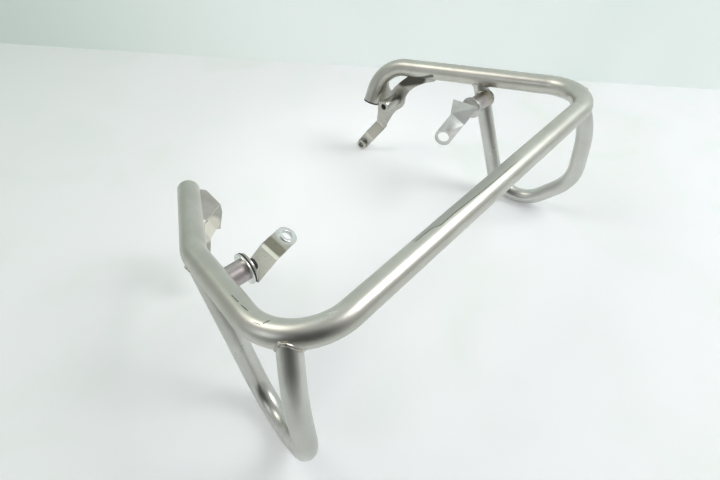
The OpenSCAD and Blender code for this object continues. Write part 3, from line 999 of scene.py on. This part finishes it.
@dataclass
class Studio:
    """Pale floor and backdrop with painted light and shade, soft lamps, a dark end behind the
    camera, and the camera.
    """

    eye: Point = (-0.43724, -0.3516, 0.60276)
    right: Point = (0.66345, -0.7474, 0.0350)
    up: Point = (0.52023, 0.49441, 0.69636)
    back: Point = (-0.53776, -0.44379, 0.71684)
    lens: float = 25.946
    # Middle of the pool of light painted on the floor and backdrop.
    brightest: Point = (0.12, 0.14, 0.0)
    far_edge: tuple[Point, Point] = ((-0.090, 1.102, 0.0), (0.972, -0.268, 0.0))
    to_far_right: Point = (-0.66, 0.75, 0.0)
    # Painted shade on the sheets towards the camera's end, out of view, which the steel reflects
    # as the dim room.
    to_near_end: Point = (-0.77, -0.64, 0.0)
    near_end: Colour = (0.34, 0.35, 0.345)
    to_dark_air: Point = (-0.72, -0.60, 0.34)
    air: Colour = (0.85, 0.87, 0.87)
    dark_air: Colour = (0.12, 0.125, 0.125)
    air_strength: float = 0.62
    floor_size: float = 7.0
    wall_reach: float = 3.5
    wall_height: float = 3.0
    wall_facing: Point = (-0.79, -0.613, 0.0)
    aim: Point = (0.0, 0.0, 0.12)

    def camera(self) -> None:
        """Sets the camera at the photograph's place."""
        data = bpy.data.cameras.new("camera")
        data.lens, data.sensor_width = self.lens, 36.0
        data.clip_start, data.clip_end = 0.01, 20.0
        camera = bpy.data.objects.new("camera", data)
        bpy.context.scene.collection.objects.link(camera)
        turn = Matrix((self.right, self.up, self.back)).transposed().to_4x4()
        turn.translation = Vector(self.eye)
        camera.matrix_world = turn
        bpy.context.scene.camera = camera

    def paper(self, name: str, colour: Colour, shade: Colour, dim: Colour, blot: float,
              glow: float, falloff: float, hide_back: bool = False) -> bpy.types.Material:
        """Makes the pale sheet of the floor or the backdrop.

        Args:
            name: The material's name.
            colour: The sheet's colour.
            shade: The colour of its faint blots.
            dim: The colour of the painted shade far out on the rider's right.
            blot: Size of the blots, in metres.
            glow: Light that only the camera and glossy rays see.
            falloff: Share of the tone that is left away from the painted pool of light.
            hide_back: Whether the sheet vanishes from behind.

        Returns:
            The material.
        """
        material = bpy.data.materials.new(name)
        material.use_nodes = True
        nodes = NodeTree(material.node_tree)
        vector = nodes.add("ShaderNodeTexCoord").outputs["Object"]
        blots = nodes.remap(nodes.noise(vector, blot, 3.0, 0.5, 1.2), 0.42, 0.72)
        tone = nodes.mix(blots, colour, shade)
        # Painted shade: the tone dims towards the rider's right.
        across = nodes.add("ShaderNodeVectorMath", {0: vector, 1: Vector(self.to_far_right)},
                           operation="DOT_PRODUCT").outputs["Value"]
        tone = nodes.mix(nodes.remap(across, 0.10, 1.0), tone, dim)
        # Painted pool of light: the tone darkens away from the brightest place.
        ring = nodes.add("ShaderNodeVectorMath", {0: vector, 1: Vector(self.brightest)},
                         operation="DISTANCE").outputs["Value"]
        tone = nodes.mix(nodes.remap(ring, 0.10, 0.42), tone,
                         nodes.mix(1.0, tone, (falloff, falloff, falloff), "MULTIPLY"))
        # Painted shade: the sheets darken towards the camera's end.
        nearer = nodes.add("ShaderNodeVectorMath", {0: vector, 1: Vector(self.to_near_end)},
                           operation="DOT_PRODUCT").outputs["Value"]
        tone = nodes.mix(nodes.remap(nearer, 0.40, 1.0), tone, self.near_end)
        sheet = nodes.add("ShaderNodeBsdfDiffuse", {"Color": tone})
        path = nodes.add("ShaderNodeLightPath")
        seen = nodes.maths("MAXIMUM", path.outputs["Is Camera Ray"], nodes.maths(
            "MAXIMUM", path.outputs["Is Glossy Ray"], path.outputs["Is Transmission Ray"]))
        light = nodes.add("ShaderNodeEmission", {
            "Color": tone, "Strength": nodes.maths("MULTIPLY", seen, glow)})
        shader = nodes.add("ShaderNodeAddShader", {0: sheet.outputs[0], 1: light.outputs[0]})
        if hide_back:
            behind = nodes.add("ShaderNodeNewGeometry").outputs["Backfacing"]
            clear = nodes.add("ShaderNodeBsdfTransparent")
            shader = nodes.add("ShaderNodeMixShader", {
                0: behind, 1: shader.outputs[0], 2: clear.outputs[0]})
        nodes.add("ShaderNodeOutputMaterial", {"Surface": shader.outputs[0]})
        return material

    def sheets(self) -> None:
        """Lays the floor and hangs the backdrop along its far edge."""
        bpy.ops.object.select_all(action="DESELECT")
        bpy.ops.mesh.primitive_plane_add(size=self.floor_size, location=(0, 0, 0))
        floor = bpy.context.active_object
        floor.name = "floor"
        floor.data.materials.append(self.paper(
            "pale_floor", (0.87, 0.89, 0.90), (0.82, 0.86, 0.84), (0.76, 0.81, 0.78),
            0.20, 0.28, 0.90))
        first, second = Vector(self.far_edge[0]), Vector(self.far_edge[1])
        run = (second - first).normalized()
        middle = (first + second) / 2
        bpy.ops.mesh.primitive_plane_add(size=1.0)
        wall = bpy.context.active_object
        wall.name = "backdrop"
        out, rise = run * self.wall_reach, Vector((0, 0, self.wall_height))
        corners = [middle - out, middle + out, middle - out + rise, middle + out + rise]
        for vertex, corner in zip(wall.data.vertices, corners):
            vertex.co = corner
        wall.matrix_world = Matrix.Identity(4)
        wall.data.update()
        if wall.data.polygons[0].normal.dot(Vector(self.wall_facing)) < 0:
            wall.data.flip_normals()
        wall.data.materials.append(self.paper(
            "pale_backdrop", (0.78, 0.84, 0.82), (0.74, 0.81, 0.79), (0.56, 0.64, 0.60),
            0.5, 0.50, 0.95, True))

    def lamp(self, name: str, place: Point, size: float, power: float,
             colour: Colour = (1.0, 1.0, 1.0)) -> None:
        """Hangs one soft lamp that faces the part.

        Args:
            name: The lamp's name.
            place: Where it hangs.
            size: Edge of its square, in metres.
            power: Watts.
            colour: The light's colour.
        """
        data = bpy.data.lights.new(name, "AREA")
        data.shape, data.size, data.energy, data.color = "SQUARE", size, power, colour
        lamp = bpy.data.objects.new(name, data)
        bpy.context.scene.collection.objects.link(lamp)
        lamp.location = place
        aim = Vector(self.aim) - Vector(place)
        lamp.rotation_euler = aim.to_track_quat("-Z", "Y").to_euler()

    def world(self) -> None:
        """Makes the pale surroundings, darker low down on the camera's side."""
        world = bpy.data.worlds.new("studio_air")
        bpy.context.scene.world = world
        world.use_nodes = True
        nodes = NodeTree(world.node_tree)
        facing = nodes.add("ShaderNodeTexCoord").outputs["Generated"]
        towards = nodes.add("ShaderNodeVectorMath", {
            0: facing, 1: Vector(self.to_dark_air)}, operation="DOT_PRODUCT")
        dark = nodes.remap(towards.outputs["Value"], 0.45, 0.92)
        tone = nodes.mix(dark, self.air, self.dark_air)
        background = nodes.add("ShaderNodeBackground", {
            "Color": tone, "Strength": self.air_strength})
        nodes.add("ShaderNodeOutputWorld", {"Surface": background.outputs[0]})

    def build(self) -> None:
        """Sets the whole studio up."""
        bpy.context.scene.view_settings.view_transform = "Standard"
        self.camera()
        self.sheets()
        self.lamp("key", (1.05, -0.95, 1.75), 1.1, 24.0)
        self.lamp("fill", (-0.6, 1.1, 1.9), 1.0, 9.0, (1.0, 0.97, 0.90))
        self.lamp("rim", (-1.9, 0.2, 1.0), 0.8, 2.5, (0.92, 0.97, 1.0))
        self.world()
        LOG.info("studio ready")


def main() -> None:
    """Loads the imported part, dresses it and sets it in the studio."""
    logging.basicConfig(level=logging.INFO, format="%(name)s: %(message)s")
    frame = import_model()
    bpy.ops.object.select_all(action="DESELECT")
    finishes = Finishes()
    PackedSteel(frame["nodes"], finishes).dress()
    Welds(finishes).build()
    HexBolt(finishes).build()
    StubCollar("left_collar", "left_flange", "bright", Slot.BRIGHT,
               STUB.length, STUB.flange, 13.9).build(finishes)
    StubCollar("left_seal", "left_rubber", "rubber", Slot.RUBBER,
               STUB.length + STUB.flange, STUB.rubber, 13.6).build(finishes)
    Studio().build()
    bpy.context.view_layer.update()
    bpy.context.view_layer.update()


if __name__ == "__main__":
    main()
